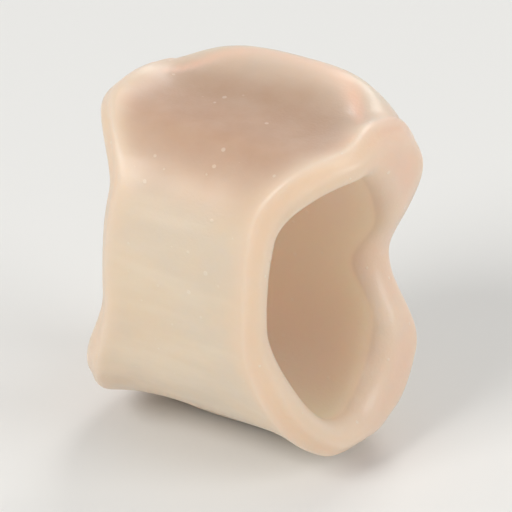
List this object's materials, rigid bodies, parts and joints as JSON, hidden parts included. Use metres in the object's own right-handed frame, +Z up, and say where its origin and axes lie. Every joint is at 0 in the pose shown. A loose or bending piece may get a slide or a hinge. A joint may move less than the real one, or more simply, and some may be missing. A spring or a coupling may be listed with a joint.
{
  "type": "toe separator",
  "caption": "Moulded translucent gel toe separator: a soft loop for the little toe, with a flanged, waisted pad that sits between it and the next toe.",
  "frame": {"origin": "middle of the small flat under the lower flange, which the part stands on", "axes": "+Z up as worn, +X along the little toe to its tip, +Y from the little toe to the next toe"},
  "size_m": [0.0182, 0.0162, 0.023],
  "materials": {
    "milky_gel": "translucent satin"
  },
  "bodies": {
    "root": {"gel_separator": "milky_gel"}
  },
  "joints": []
}
